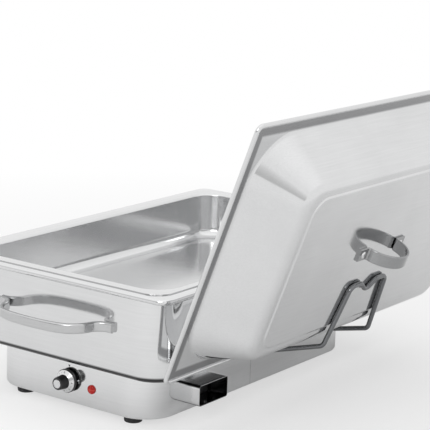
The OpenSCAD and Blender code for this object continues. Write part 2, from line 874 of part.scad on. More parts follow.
// Rounded outline of the handle's section: its thickness lies across the way it runs, its height is upright
grip_outline = [for (quarter = [0:3], a = [0, 30, 60, 90]) let(
    x = (quarter == 0 || quarter == 3) ? 1 : -1,
    y = quarter < 2 ? 1 : -1,
    turn = 90 * quarter + a
) [
    x * (bar_depth / 2 - section_r) + section_r * cos(turn),
    y * (bar_height / 2 - section_r) + section_r * sin(turn)
]];

// A handle that stands out along +Y, with its feet on a wall at y = 0
module bow_handle() {
    half_path = [
        [grip_span / 2 + foot_past, bar_depth / 2, 0],
        [shoulder_span / 2 + leg_splay, bar_depth / 2, 0],
        [shoulder_span / 2, grip_bow - grip_drop, 0]
    ];
    left = [for (p = half_path) [-p.x, p.y, 0]];
    right = [for (i = [2 : -1 : 0]) half_path[i]];
    radii = [root_r, shoulder_r, bow_r, shoulder_r, root_r];
    difference() {
        sweep(path_stations(concat(left, [[0, grip_bow, 0]], right), radii), [0, -1, 0], grip_outline);
        for (s = [-1, 1]) translate([s * grip_span / 2, -1, 0]) rotate([-90, 0, 0])
            cylinder(d = grip_screw_d + 2 * run_gap, h = grip_screw_in + 1);
    }
}

module front_handle() {
    color(bright) at_frame() translate([0, -pan_l / 2, grip_z]) rotate(180) bow_handle();
}

module rear_handle() {
    color(bright) at_frame() translate([0, pan_l / 2, grip_z]) bow_handle();
}

module handle_screws() {
    color(alloy) at_frame() each_grip_screw() translate([0, 0, -sheet - washer_t]) mirror([0, 0, 1])
        pan_screw(grip_screw_d, sheet + washer_t + grip_screw_in - blind_room);
}

module handle_washers() {
    color(black) at_frame() each_grip_screw() translate([0, 0, -sheet - washer_t]) difference() {
        cylinder(d = washer_d, h = washer_t);
        translate([0, 0, -1]) cylinder(d = grip_screw_d + 2 * hole_gap, h = washer_t + 2);
    }
}

// Food pan in the water bath

module food_pan() {
    color(bright) at_frame() translate([0, 0, rim_top - food_depth + sheet]) {
        drawn_pan(food_w, food_l, food_corner, food_depth, food_floor_r);
        translate([0, 0, food_depth - sheet]) frame_plate(food_rim_w, food_rim_l, food_rim_corner,
            food_w - sheet, food_l - sheet, food_corner - sheet / 2, sheet);
    }
}

// Lid holder and its brackets

module strap_profile() {
    channel = wire_r + rest_gap;
    difference() {
        union() {
            translate([0, -bracket_w / 2]) square([bracket_t, bracket_w]);
            translate([0, -channel - bracket_t]) square([channel, 2 * (channel + bracket_t)]);
            translate([channel, 0]) circle(channel + bracket_t);
        }
        translate([-1, -channel]) square([channel + 1, 2 * channel]);
        translate([channel, 0]) circle(channel);
        translate([-2 * bracket_w, -bracket_w]) square([2 * bracket_w, 2 * bracket_w]);
    }
}

module holder_brackets() {
    color(steel) at_frame() for (s = [-1, 1])
        translate([wall_x, -holder_shift + s * bracket_pitch / 2, bracket_top - bracket_h])
            linear_extrude(bracket_h) strap_profile();
}

module lid_holder() {
    wire_sides = 12;
    wire_outline = [for (i = [0 : wire_sides - 1]) let(a = 360 * i / wire_sides) wire_r * [cos(a), sin(a)]];
    hook_y = bracket_pitch / 2;
    half_path = [
        [hook_x, hook_y, hook_end],
        [hook_x, hook_y, hook_top],
        [hook_x + hook_out, hook_y, hook_top],
        [cradle.x, cradle_span / 2, cradle.y],
        [prop_low.x, prop_low_span / 2, prop_low.y],
        [prop_top.x, prop_top_span / 2, prop_top.y],
        [prop_top.x, dip_w / 2, prop_top.y],
        [dip_low.x, dip_w / 8, dip_low.y]
    ];
    mirrored = [for (i = [len(half_path) - 1 : -1 : 0]) [half_path[i].x, -half_path[i].y, half_path[i].z]];
    path = concat(half_path, mirrored);
    radii = [for (i = [2 : len(path) - 1]) bend_r];
    color(dark_steel) at_frame() translate([0, -holder_shift, 0])
        sweep(path_stations(path, radii), [1, 0, 0], wire_outline);
}

// Lid, drawn flat with the flange's upper face at z = 0

function arc(centre, r, from, to) = let(steps = ceil(abs(to - from) / 10))
    [for (i = [0 : steps]) let(a = from + (to - from) * i / steps) centre + r * [cos(a), sin(a)]];

// Section of the dome's wall: a strip of the flange, the slope and a strip of the top
module dome_profile() {
    root = [root_tangent, dome_root_r];
    head = [-dome_in - top_tangent, dome_h - dome_top_r];
    outer = concat(
        [[root_tangent + dome_lap, 0]],
        arc(root, dome_root_r, 270, 180 + dome_slope),
        arc(head, dome_top_r, dome_slope, 90),
        [[head.x - dome_lap, dome_h]]
    );
    inner = concat(
        [[head.x - dome_lap, dome_h - sheet]],
        arc(head, dome_top_r - sheet, 90, dome_slope),
        arc(root, dome_root_r + sheet, 180 + dome_slope, 270),
        [[root_tangent + dome_lap, -sheet]]
    );
    polygon(concat(outer, inner));
}

module lid_shell() {
    top_in = dome_in + top_tangent;
    root_in = flange_w - root_tangent;
    color(steel) at_frame() at_park() {
        around(dome_w, dome_l, dome_corner) dome_profile();
        translate([0, 0, -sheet]) frame_plate(lid_w - lid_bead_d, lid_l - lid_bead_d,
            flange_corner - lid_bead_r, lid_w - 2 * root_in, lid_l - 2 * root_in,
            dome_corner + root_tangent, sheet);
        around(lid_w, lid_l, flange_corner) translate([-lid_bead_r, -sheet / 2]) difference() {
            circle(lid_bead_r);
            circle(lid_bead_r - sheet);
        }
        translate([0, 0, dome_h - sheet]) frame_plate(dome_w - 2 * top_in, dome_l - 2 * top_in,
            dome_corner - top_in, emboss_w - 2 * sheet, emboss_l - 2 * sheet, emboss_corner - sheet, sheet);
        translate([0, 0, dome_h - sheet]) frame_plate(emboss_w, emboss_l, emboss_corner,
            emboss_w - 2 * sheet, emboss_l - 2 * sheet, emboss_corner - sheet, emboss_h + sheet);
        translate([0, 0, emboss_z - sheet]) linear_extrude(sheet) difference() {
            rounded_rect(emboss_w, emboss_l, emboss_corner);
            for (y = [-1, 1]) translate([0, y * strap_span / 2]) circle(d = rivet_d + 2 * hole_gap);
        }
    }
}

module lid_handle() {
    centre_z = strap_rise - arch_r;
    // A foot reaches half-way through the root of the arch
    foot_lap = strap_t / 2;
    foot_long = strap_foot + foot_lap;
    color(bright) at_frame() at_park() translate([0, 0, emboss_z]) difference() {
        translate([strap_b / 2, 0, 0]) rotate([90, 0, -90]) linear_extrude(strap_b) {
            difference() {
                translate([0, centre_z]) difference() {
                    circle(arch_r);
                    circle(arch_r - strap_t);
                }
                translate([-2 * arch_r, -4 * arch_r]) square(4 * arch_r);
            }
            for (s = [-1, 1]) translate([s * (strap_span / 2 - foot_lap / 2) - foot_long / 2, 0])
                square([foot_long, strap_t]);
        }
        for (y = [-1, 1]) translate([0, y * strap_span / 2, -1])
            cylinder(d = rivet_d + 2 * hole_gap, h = strap_t + 2);
    }
}

module lid_rivets() {
    grip = sheet + strap_t;
    color(alloy) at_frame() at_park() for (y = [-1, 1])
        translate([0, y * strap_span / 2, emboss_z - sheet]) {
            cylinder(d = rivet_d, h = grip);
            translate([0, 0, grip]) cylinder(d1 = rivet_head_d, d2 = rivet_d, h = rivet_head);
            translate([0, 0, -rivet_head / 2]) cylinder(d = rivet_head_d, h = rivet_head / 2);
        }
}

base_front();
base_rear();
seam_straps();
base_plate();
rubber_feet();
foot_screws();
foot_nuts();
water_pan();
pan_studs();
pan_nuts();
heat_spreader();
heating_element();
clamp_bars();
clamp_studs();
clamp_nuts();
thermal_cutout();
thermostat();
thermostat_screws();
thermostat_bulb();
lamp_lens();
lamp_body();
inlet_shroud();
inlet_socket();
inlet_pins();
inlet_screws();
front_handle();
rear_handle();
handle_screws();
handle_washers();
holder_brackets();
thermostat_shaft();
knob();
dial_face();
knob_cap();
food_pan();
lid_holder();
lid_shell();
lid_handle();
lid_rivets();
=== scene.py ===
"""Looks of the electric chafing dish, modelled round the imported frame. Lengths are in metres."""

import math

import bmesh
import bpy
from mathutils import Matrix, Vector


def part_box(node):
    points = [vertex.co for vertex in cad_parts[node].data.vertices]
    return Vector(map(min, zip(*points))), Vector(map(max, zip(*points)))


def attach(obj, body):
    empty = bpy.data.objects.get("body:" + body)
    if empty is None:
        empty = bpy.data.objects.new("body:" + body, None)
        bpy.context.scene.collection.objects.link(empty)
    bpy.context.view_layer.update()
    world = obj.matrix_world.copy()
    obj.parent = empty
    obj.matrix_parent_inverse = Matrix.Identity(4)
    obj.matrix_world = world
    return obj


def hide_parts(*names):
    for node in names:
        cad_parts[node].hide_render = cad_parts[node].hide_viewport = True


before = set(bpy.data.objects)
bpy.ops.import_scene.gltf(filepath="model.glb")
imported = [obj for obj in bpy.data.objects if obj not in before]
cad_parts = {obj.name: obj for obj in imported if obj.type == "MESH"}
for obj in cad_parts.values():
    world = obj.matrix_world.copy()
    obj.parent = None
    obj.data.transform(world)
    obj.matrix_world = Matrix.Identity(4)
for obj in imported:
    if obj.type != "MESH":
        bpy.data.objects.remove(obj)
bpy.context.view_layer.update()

# Places and sizes of the dish, as in the part's source.
# A rounded rectangle is (width, length, corner radius).
DISH_X = (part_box("water_pan")[0].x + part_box("water_pan")[1].x) / 2
SHEET = 0.001
BASE_TOP = 0.067
RIM_TOP = 0.179
PAN = (0.322, 0.518, 0.040)
PAN_FLOOR_BEND = 0.010
PAN_RIM_BEND = 0.002
RIM = (0.354, 0.550, 0.016)
RIM_BEAD = 0.0075
FOOD = (0.300, 0.496, 0.034)
FOOD_RIM = (0.325, 0.530, 0.024)
FOOD_FLOOR = 0.115
FOOD_FLOOR_BEND = 0.014
FOOD_RIM_BEND = 0.0025
BASE = (0.257, 0.443, 0.044)
BASE_LIP = 0.012
BASE_LOW = 0.009
BASE_BEND = 0.0012
BASE_Y = -0.012
SEAM_Y = -0.027
SEAM_GAP = 0.0004
FRONT_Y = BASE_Y - BASE[1] / 2
KNOB_Z = 0.0375
LAMP_X = 0.0365
LAMP_Z = 0.033
INLET_Y = -0.1485
INLET_Z = 0.037
SHROUD = (0.0585, 0.0265, 0.004)
SHROUD_REACH = 0.030
LID = (0.338, 0.534, 0.010)
LID_BEAD = 0.0055
DOME = (0.300, 0.496, 0.062)
DOME_H = 0.063
DOME_SLOPE = math.radians(30)
DOME_FOOT_BEND = 0.005
DOME_HEAD_BEND = 0.014
EMBOSS = (0.200254, 0.396254, 0.024)
EMBOSS_H = 0.0015
EMBOSS_BEND = 0.0009
LID_TOP = DOME_H + EMBOSS_H
PARK_LEAN = math.radians(20.5)
PARK_LOW = (0.185687, 0.083439)
PARK_Y = -0.020

# Bow handles, as half a path seen from above: (along the pan's end, out from it)
GRIP_Z = 0.1275
BOW_BAR = (0.006, 0.0125, 0.0026)
BOW_HALF = [(0.090, BOW_BAR[0] / 2), (0.0705, BOW_BAR[0] / 2), (0.0625, 0.0355), (0.038, 0.0456)]
BOW_APEX = 0.0484
BOW_BENDS = [0.018, 0.029, 0.070, 0.250, 0.070, 0.029, 0.018]

# Wire holder, as half its path from a hook to the dip at its top
HOLDER_Y = -0.020
HOLDER_BEND = 0.009
HOLDER_HALF = [
    (0.1643, 0.077, 0.114), (0.1643, 0.077, 0.142928), (0.1863, 0.077, 0.142928),
    (0.1755, 0.067, 0.077), (0.263905, 0.052, 0.099042), (0.292622, 0.040, 0.175849),
    (0.292622, 0.017, 0.175849), (0.289119, 0.00425, 0.166482)]
WIRE = 0.006

# Knob and dial: radii, and heights out from the casing
KNOB_STEPS = 72
KNOB_BACK = 0.003
SKIRT_TOP = 0.0065
CAP_SEAT = 0.02175
GRIP_END = 0.0225
SKIRT_RADIUS = 0.015
GRIP_RADIUS = 0.0089
TIP_RADIUS = 0.0076
RECESS_RADIUS = 0.0056
CAP_RADIUS = 0.0055
DIAL_OUTER = (0.01425, 0.0073)
DIAL_INNER = (0.00895, 0.0105)

# How finely curves are divided, and how near counts as the same place
ARC_STEPS = 24
BAR_ARC_STEPS = 12
BEND_STEPS = 10
ROUNDING_STEPS = 4
TUBE_STEPS = 6
WELD = 1e-6
TOUCH = 1e-5

ORIGIN = Vector((0, 0, 0))
QUARTER = math.pi / 2


def move(x, y, z):
    return Matrix.Translation((x, y, z))


def turn(angle, axis):
    return Matrix.Rotation(angle, 4, axis)


# Puts a lid that was modelled lying flat where it is parked
parked = (move(DISH_X + PARK_LOW[0], PARK_Y, PARK_LOW[1]) @ turn(QUARTER + PARK_LEAN, "Y")
          @ move(-LID[0] / 2, 0, 0))

# Put a piece that was modelled standing on z = 0 on the face of the casing
at_knob = move(DISH_X, FRONT_Y, KNOB_Z) @ turn(QUARTER, "X")
at_lamp = move(DISH_X + LAMP_X, FRONT_Y, LAMP_Z) @ turn(QUARTER, "X")
at_inlet = move(DISH_X + BASE[0] / 2, INLET_Y, INLET_Z) @ turn(QUARTER, "Z") @ turn(QUARTER, "X")


def only(*pieces):
    """Selects just these pieces and makes the first of them the active one."""
    if bpy.context.mode != "OBJECT":
        bpy.ops.object.mode_set(mode="OBJECT")
    bpy.ops.object.select_all(action="DESELECT")
    for piece in pieces:
        piece.select_set(True)
    bpy.context.view_layer.objects.active = pieces[0]


def edit(piece):
    only(piece)
    bpy.ops.object.mode_set(mode="EDIT")


def leave_edit():
    bpy.ops.object.mode_set(mode="OBJECT")


def pick_all():
    bpy.ops.mesh.select_all(action="SELECT")


def pick(kind, test):
    """In edit mode, selects each vertex, edge or face that passes the test."""
    bpy.ops.mesh.select_mode(type=kind)
    bpy.ops.mesh.select_all(action="DESELECT")
    mesh = bpy.context.edit_object.data
    shape = bmesh.from_edit_mesh(mesh)
    for part in {"VERT": shape.verts, "EDGE": shape.edges, "FACE": shape.faces}[kind]:
        if test(part):
            part.select_set(True)
    shape.select_flush_mode()
    bmesh.update_edit_mesh(mesh)


def round_corner(offset, steps):
    """Rounds the selected corners of a line or a face."""
    bpy.ops.mesh.bevel(offset=offset, segments=steps, profile=0.5, affect="VERTICES",
                       clamp_overlap=False)


def apply(piece, name, kind, **settings):
    """Adds a modifier to the active piece and applies it."""
    modifier = piece.modifiers.new(name, kind)
    for key, value in settings.items():
        setattr(modifier, key, value)
    bpy.ops.object.modifier_apply(modifier=modifier.name)


def smooth(angle):
    bpy.ops.object.shade_smooth_by_angle(angle=math.radians(angle))


def finish_mesh(piece, thickness=0.0, angle=35):
    """Turns the faces outwards, gives a sheet its thickness inwards and smooths the shading."""
    edit(piece)
    pick_all()
    bpy.ops.mesh.remove_doubles(threshold=WELD)
    bpy.ops.mesh.normals_make_consistent(inside=False)
    leave_edit()
    middle = sum((Vector(corner) for corner in piece.bound_box), Vector()) / 8
    outwards = sum(face.area * face.normal.xy.dot((face.center - middle).xy)
                   for face in piece.data.polygons)
    if outwards < 0:
        edit(piece)
        pick_all()
        bpy.ops.mesh.flip_normals()
        leave_edit()
    if thickness:
        apply(piece, "wall", "SOLIDIFY", thickness=thickness, offset=-1, use_even_offset=True)
    smooth(angle)
    apply(piece, "even", "WEIGHTED_NORMAL", keep_sharp=True)
    return piece


def settle(piece, matrix):
    """Moves a piece that was modelled at the origin to its place, and applies the move."""
    piece.matrix_world = matrix
    only(piece)
    bpy.ops.object.transform_apply(location=True, rotation=True, scale=True)
    return piece


def join(name, *pieces):
    only(*pieces)
    bpy.ops.object.join()
    pieces[0].name = name
    return pieces[0]


def put(piece, body, finish, slot, *nodes):
    """Gives a finished piece its material and its body, and hides the nodes that it stands for."""
    piece.data.materials.clear()
    piece.data.materials.append(finish)
    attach(piece, body)
    if nodes:
        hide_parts(*nodes)
    return piece


# Sheets made of rounded rectangles

def add_loop(loop, height, steps=ARC_STEPS):
    """Adds the edges of a rounded rectangle to the mesh in edit mode."""
    width, length, corner = loop
    bpy.ops.mesh.primitive_plane_add(size=1, location=(0, 0, height))
    bpy.ops.mesh.select_mode(type="VERT")
    bpy.ops.transform.resize(value=(width, length, 1), center_override=(0, 0, height))
    round_corner(corner, steps)
    bpy.ops.mesh.delete(type="ONLY_FACE")


def start_piece(name):
    """Starts an empty mesh at the origin, in edit mode."""
    bpy.ops.object.select_all(action="DESELECT")
    bpy.ops.mesh.primitive_plane_add(location=ORIGIN)
    piece = bpy.context.object
    piece.name = name
    edit(piece)
    bpy.ops.mesh.select_mode(type="VERT")
    pick_all()
    bpy.ops.mesh.delete(type="VERT")
    return piece


def on_loop(point, loop, height):
    """Whether a point lies on a rounded rectangle."""
    width, length, corner = loop
    x = abs(point.x) - (width / 2 - corner)
    y = abs(point.y) - (length / 2 - corner)
    away = math.hypot(max(x, 0), max(y, 0)) + min(max(x, y), 0)
    return abs(point.z - height) < TOUCH and abs(away - corner) < 5 * TOUCH


def pick_loops(*loops):
    pick("EDGE", lambda e: any(all(on_loop(v.co, *loop) for v in e.verts) for loop in loops))


def draw_sheet(name, loops, bends=(), close_first=False, close_last=False):
    """Draws a sheet through rounded rectangles, each with its height, and bends it along some.

    A bend is (which rectangle, how far it reaches from the edge, steps).
    """
    piece = start_piece(name)
    for loop in loops:
        add_loop(*loop)
    level_first = sorted(zip(loops, loops[1:]), key=lambda pair: pair[0][1] != pair[1][1])
    for lower, upper in level_first:
        pick_loops(lower, upper)
        bpy.ops.mesh.bridge_edge_loops()
    for closed, loop in ((close_first, loops[0]), (close_last, loops[-1])):
        if closed:
            pick_loops(loop)
            bpy.ops.mesh.edge_face_add()
    pick_all()
    bpy.ops.mesh.normals_make_consistent(inside=False)
    for index, reach, steps in bends:
        pick_loops(loops[index])
        bpy.ops.mesh.bevel(offset=reach, segments=steps, profile=0.5, affect="EDGES",
                           loop_slide=False)
    leave_edit()
    return piece


def shrunk(loop, by):
    return (loop[0] - 2 * by, loop[1] - 2 * by, max(loop[2] - by, 0.0005))


def to_tube(piece, radius):
    """Turns a line of edges into a round bar with closed ends."""
    only(piece)
    bpy.ops.object.convert(target="CURVE")
    piece.data.bevel_depth = radius
    piece.data.bevel_resolution = TUBE_STEPS
    piece.data.use_fill_caps = not piece.data.splines[0].use_cyclic_u
    bpy.ops.object.convert(target="MESH")
    return piece


def bead(name, loop, height, diameter):
    """A bead along a rounded rectangle, inside its outline."""
    piece = start_piece(name)
    add_loop(shrunk(loop, diameter / 2), height)
    leave_edit()
    return finish_mesh(to_tube(piece, diameter / 2))


# Bars bent along a path, and turned pieces

def bent_line(name, points, radii):
    """A line of edges through the points, with its inner corners rounded to the radii."""
    points = [Vector(p) for p in points]
    piece = start_piece(name)
    bpy.ops.mesh.primitive_plane_add(size=0.001, location=points[0])
    bpy.ops.mesh.merge(type="CENTER")
    for a, b in zip(points, points[1:]):
        bpy.ops.mesh.extrude_region_move(TRANSFORM_OT_translate={"value": b - a})
    for a, b, c, radius in zip(points, points[1:], points[2:], radii):
        if radius:
            pick("VERT", lambda v, b=b: (v.co - b).length < TOUCH)
            round_corner(radius * math.tan((b - a).angle(c - b) / 2), BEND_STEPS)
    leave_edit()
    return piece


def bent_bar(name, points, radii, across, upright, corner):
    """A bar of rounded oblong section along a path that lies level."""
    line = bent_line(name, points, radii)
    section = start_piece("section")
    add_loop((across, upright, corner), 0, BAR_ARC_STEPS)
    leave_edit()
    for shape in (section, line):
        only(shape)
        bpy.ops.object.convert(target="CURVE")
    line.data.twist_mode = "Z_UP"
    line.data.bevel_mode = "OBJECT"
    line.data.bevel_object = section
    line.data.use_fill_caps = True
    bpy.ops.object.convert(target="MESH")
    bpy.data.objects.remove(section)
    return line


def turned(name, profile, steps=64):
    """Spins a profile of (radius, height, rounding) points about the z axis."""
    points = [Vector((r, 0, z)) for r, z, _ in profile]
    piece = bent_line(name, points, [])
    edit(piece)
    for point, (_, _, rounding) in zip(points, profile):
        if rounding:
            pick("VERT", lambda v, p=point: (v.co - p).length < WELD)
            round_corner(rounding, ROUNDING_STEPS)
    pick_all()
    bpy.ops.mesh.spin(steps=steps, angle=2 * math.pi, center=ORIGIN, axis=(0, 0, 1))
    pick_all()
    bpy.ops.mesh.remove_doubles(threshold=WELD)
    leave_edit()
    return piece


# Shader nodes

def add_node(tree, kind, sockets=None, **settings):
    """Adds a node, with settings by name and sockets from values or from other nodes' outputs."""
    made = tree.nodes.new(kind)
    for key, value in settings.items():
        setattr(made, key, value)
    for key, value in (sockets or {}).items():
        if isinstance(value, bpy.types.NodeSocket):
            tree.links.new(value, made.inputs[key])
        else:
            made.inputs[key].default_value = value
    return made


def worked(tree, operation, *values):
    """The result of one sum."""
    return add_node(tree, "ShaderNodeMath", dict(enumerate(values)), operation=operation).outputs[0]


def mapped(tree, value, start=0.0, end=1.0, low=0.0, high=1.0):
    """Goes from low to high as the value goes from start to end."""
    return add_node(tree, "ShaderNodeMapRange", {
        "Value": value, "From Min": start, "From Max": end,
        "To Min": low, "To Max": high}).outputs[0]


def mixed_colour(tree, share, first, second, blend="MIX"):
    return add_node(tree, "ShaderNodeMix", {0: share, 6: first, 7: second}, data_type="RGBA",
                    blend_type=blend).outputs[2]


def mixed_value(tree, share, first, second):
    return add_node(tree, "ShaderNodeMix", {0: share, 2: first, 3: second}).outputs[0]


def noise(tree, place, scale, detail, roughness=0.5, distortion=0.0):
    return add_node(tree, "ShaderNodeTexNoise", {
        "Vector": place, "Scale": scale, "Detail": detail, "Roughness": roughness,
        "Distortion": distortion}).outputs[0]


def cells(tree, place, scale):
    return add_node(tree, "ShaderNodeTexVoronoi", {
        "Vector": place, "Scale": scale}).outputs["Distance"]


def object_place(tree):
    return add_node(tree, "ShaderNodeTexCoord").outputs["Object"]


def shifted(tree, x, y, z):
    """Object coordinates with their middle moved by a vector."""
    return add_node(tree, "ShaderNodeMapping", {
        "Vector": object_place(tree), "Location": (x, y, z)}).outputs[0]


def along(tree, vector, axis):
    return add_node(tree, "ShaderNodeSeparateXYZ", {"Vector": vector}).outputs[axis]


def away_along(tree, vector, *axes):
    """How far a point lies from the middle along each axis."""
    return [worked(tree, "ABSOLUTE", along(tree, vector, axis)) for axis in axes]


# Effects that several materials share

def new_group(name, inputs, outputs):
    group = bpy.data.node_groups.new(name, "ShaderNodeTree")
    for label, kind, value in inputs:
        socket = group.interface.new_socket(label, in_out="INPUT", socket_type=kind)
        socket.default_value = value
    for label in outputs:
        group.interface.new_socket(label, in_out="OUTPUT", socket_type="NodeSocketFloat")
    return group, add_node(group, "NodeGroupInput").outputs


def make_brushed_grain():
    """Fine lines left by the polishing belt, and broader strokes among them."""
    group, given = new_group("brushed_grain", [
        ("Stroke", "NodeSocketVector", (1, 1, 1)), ("Fineness", "NodeSocketFloat", 900.0)],
        ["Lines", "Strokes"])
    drawn_out = add_node(group, "ShaderNodeMapping", {
        "Vector": object_place(group), "Scale": given["Stroke"]}).outputs[0]
    lines = noise(group, drawn_out, given["Fineness"], detail=3.0, roughness=0.6)
    coarser = worked(group, "MULTIPLY", given["Fineness"], 0.28)
    broad = noise(group, drawn_out, coarser, detail=2.0)
    strokes = mapped(group, broad, 0.25, 0.75)
    add_node(group, "NodeGroupOutput", {"Lines": lines, "Strokes": strokes})
    return group


def make_handling():
    """Faint wipe marks and clouding, where hands and cloths have been."""
    group, given = new_group("handling", [("Size", "NodeSocketFloat", 9.0)], ["Clouds", "Wipes"])
    place = object_place(group)
    clouds = noise(group, place, given["Size"], detail=4.0, roughness=0.55, distortion=0.6)
    wiping = add_node(group, "ShaderNodeMapping", {
        "Vector": place, "Rotation": (0.4, 0.5, 0.9), "Scale": (3.0, 22.0, 14.0)}).outputs[0]
    wipes = mapped(group, noise(group, wiping, 2.2, detail=5.0, roughness=0.65), 0.52, 0.74)
    add_node(group, "NodeGroupOutput", {"Clouds": clouds, "Wipes": wipes})
    return group


def make_moulded_grain():
    """The fine spark-eroded texture of moulded plastic and rubber."""
    group, given = new_group("moulded_grain", [("Fineness", "NodeSocketFloat", 2200.0)],
                             ["Pits", "Patches"])
    place = object_place(group)
    add_node(group, "NodeGroupOutput", {
        "Pits": cells(group, place, given["Fineness"]),
        "Patches": noise(group, place, 70.0, detail=5.0)})
    return group


brushed_grain = make_brushed_grain()
handling = make_handling()
moulded_grain = make_moulded_grain()


# Materials

STROKES_IN_TONE = 0.25
WIPES_IN_ROUGHNESS = 0.35
GRAIN_DEPTH = 0.0002
# Darker tones that are multiplied into metals as painted shade
FLANGE_PAINTED_SHADE = 0.42
UNDERSIDE_PAINTED_SHADE = 0.08
SHROUD_INSIDE_PAINTED_SHADE = 0.22


def new_material(name, **sockets):
    made = bpy.data.materials.new(name)
    made.use_nodes = True
    shader = made.node_tree.nodes["Principled BSDF"]
    for key, value in sockets.items():
        shader.inputs[key.replace("_", " ").title().replace("Ior", "IOR")].default_value = value
    return made, made.node_tree, shader


def add_relief(tree, shader, height, strength, depth):
    bump = add_node(tree, "ShaderNodeBump", {
        "Height": height, "Strength": strength, "Distance": depth})
    tree.links.new(bump.outputs[0], shader.inputs["Normal"])


def metal(name, dark, light, smoothest, roughest, stroke, fineness, relief):
    """Metal with belt lines, clouding and wipe marks."""
    made, tree, shader = new_material(name, metallic=1.0)
    grain = add_node(tree, "ShaderNodeGroup", {"Stroke": stroke, "Fineness": fineness},
                     node_tree=brushed_grain).outputs
    marks = add_node(tree, "ShaderNodeGroup", node_tree=handling).outputs
    tone = mixed_value(tree, STROKES_IN_TONE, marks["Clouds"], grain["Strokes"])
    colour = mixed_colour(tree, tone, (*dark, 1), (*light, 1))
    wiped = worked(tree, "MULTIPLY", marks["Wipes"], WIPES_IN_ROUGHNESS)
    worn = worked(tree, "ADD", grain["Lines"], wiped)
    tree.links.new(colour, shader.inputs["Base Color"])
    tree.links.new(mapped(tree, worn, low=smoothest, high=roughest), shader.inputs["Roughness"])
    add_relief(tree, shader, grain["Lines"], relief, GRAIN_DEPTH)
    return made


def steel(name, dark, light, *finish):
    """Stainless steel between two greys, each a trace bluer than neutral."""
    return metal(name, *[(grey, grey + 0.003, grey + 0.007) for grey in (dark, light)], *finish)


def moulded(name, dark, light, smoothest, roughest, fineness, relief):
    """Plastic or rubber with a fine mould texture."""
    made, tree, shader = new_material(name)
    grain = add_node(tree, "ShaderNodeGroup", {"Fineness": fineness},
                     node_tree=moulded_grain).outputs
    patches = grain["Patches"]
    colour = mixed_colour(tree, patches, (*dark, 1), (*light, 1))
    tree.links.new(colour, shader.inputs["Base Color"])
    tree.links.new(mapped(tree, patches, low=smoothest, high=roughest), shader.inputs["Roughness"])
    add_relief(tree, shader, grain["Pits"], relief, GRAIN_DEPTH)
    return made


def multiply_in_painted_shade(finish, mask, tone):
    """Paints shade into a metal's colour: multiplies it by a darker tone where a mask is 1."""
    tree = finish.node_tree
    colour = tree.nodes["Principled BSDF"].inputs["Base Color"]
    painted_shade_colour = mixed_colour(tree, mask, colour.links[0].from_socket, (tone, tone, tone * 1.01, 1),
                          "MULTIPLY")
    tree.links.new(painted_shade_colour, colour)


def paint_flange_shade(finish):
    """Paints shade on the lid's flat flange, between the foot of its dome and its rolled edge: a
    painted dark reflection of the surroundings.
    """
    tree = finish.node_tree
    lying = add_node(tree, "ShaderNodeMapping", {
        "Vector": object_place(tree), "Location": parked.translation,
        "Rotation": parked.to_euler()}, vector_type="TEXTURE").outputs[0]
    past_dome = [worked(tree, "SUBTRACT", away, size / 2)
                 for away, size in zip(away_along(tree, lying, "X", "Y"), DOME)]
    most = worked(tree, "MAXIMUM", *past_dome)
    rolled = (LID[0] - DOME[0]) / 2 - LID_BEAD
    foot = mapped(tree, most, 0.001, 0.004)
    edge = mapped(tree, most, rolled, rolled - 0.001)
    multiply_in_painted_shade(finish, worked(tree, "MULTIPLY", foot, edge), FLANGE_PAINTED_SHADE)


def paint_underside_shade(finish):
    """Paints shade on the downward faces of the water pan up to the start of its bend: a painted
    dark line where the pan sits on the casing.
    """
    tree = finish.node_tree
    low = mapped(tree, along(tree, object_place(tree), "Z"), BASE_TOP + 0.0085, BASE_TOP + 0.006)
    normal = add_node(tree, "ShaderNodeNewGeometry").outputs["Normal"]
    faces_down = worked(tree, "LESS_THAN", along(tree, normal, "Z"), 0.0)
    multiply_in_painted_shade(finish, worked(tree, "MULTIPLY", low, faces_down), UNDERSIDE_PAINTED_SHADE)


def paint_shroud_shade(finish):
    """Paints shade on the inner faces of the inlet's shroud, in its recess."""
    tree = finish.node_tree
    centred = shifted(tree, 0, -INLET_Y, -INLET_Z)
    within = [worked(tree, "LESS_THAN", away, size / 2 - SHEET / 2)
              for away, size in zip(away_along(tree, centred, "Y", "Z"), SHROUD)]
    multiply_in_painted_shade(finish, worked(tree, "MULTIPLY", *within), SHROUD_INSIDE_PAINTED_SHADE)


def lens_plastic():
    """Clear red plastic with a cross of ribs and a fine pattern moulded behind its face."""
    made, tree, shader = new_material("red_lens", roughness=0.08, coat_weight=0.1,
                                      specular_ior_level=0.3, emission_strength=0.06)
    centred = shifted(tree, -DISH_X - LAMP_X, 0, -LAMP_Z)
    from_rib = worked(tree, "MINIMUM", *away_along(tree, centred, "X", "Z"))
    rib = mapped(tree, from_rib, 0.0002, 0.0006, 1.0, 0.0)
    facets = cells(tree, object_place(tree), 900.0)
    deep = mixed_colour(tree, facets, (0.34, 0.004, 0.003, 1), (0.50, 0.012, 0.008, 1))
    red = mixed_colour(tree, rib, deep, (0.62, 0.07, 0.05, 1))
    for socket in ("Base Color", "Emission Color"):
        tree.links.new(red, shader.inputs[socket])
    add_relief(tree, shader, rib, 0.3, 0.0005)
    return made


# A metal's values: darker and lighter tone, least and most roughness, the way of its
# strokes, their fineness, and the strength of their relief
ALONG_WALLS = (0.02, 0.02, 1.0)
ALONG_LID = (1.0, 0.02, 1.0)
ALONG_BOW = (0.04, 1.0, 1.0)
ALONG_PLATE = (1.0, 0.03, 1.0)
ALONG_DIAL = (1.0, 0.05, 1.0)
ALL_WAYS = (1.0, 1.0, 1.0)
satin_steel = steel("satin_steel", 0.64, 0.79, 0.06, 0.12, ALONG_WALLS, 2400.0, 0.010)
# The water pan's underside gets a painted dark line of shade.
paint_underside_shade(satin_steel)
lid_steel = steel("lid_steel", 0.62, 0.77, 0.07, 0.13, ALONG_LID, 2400.0, 0.010)
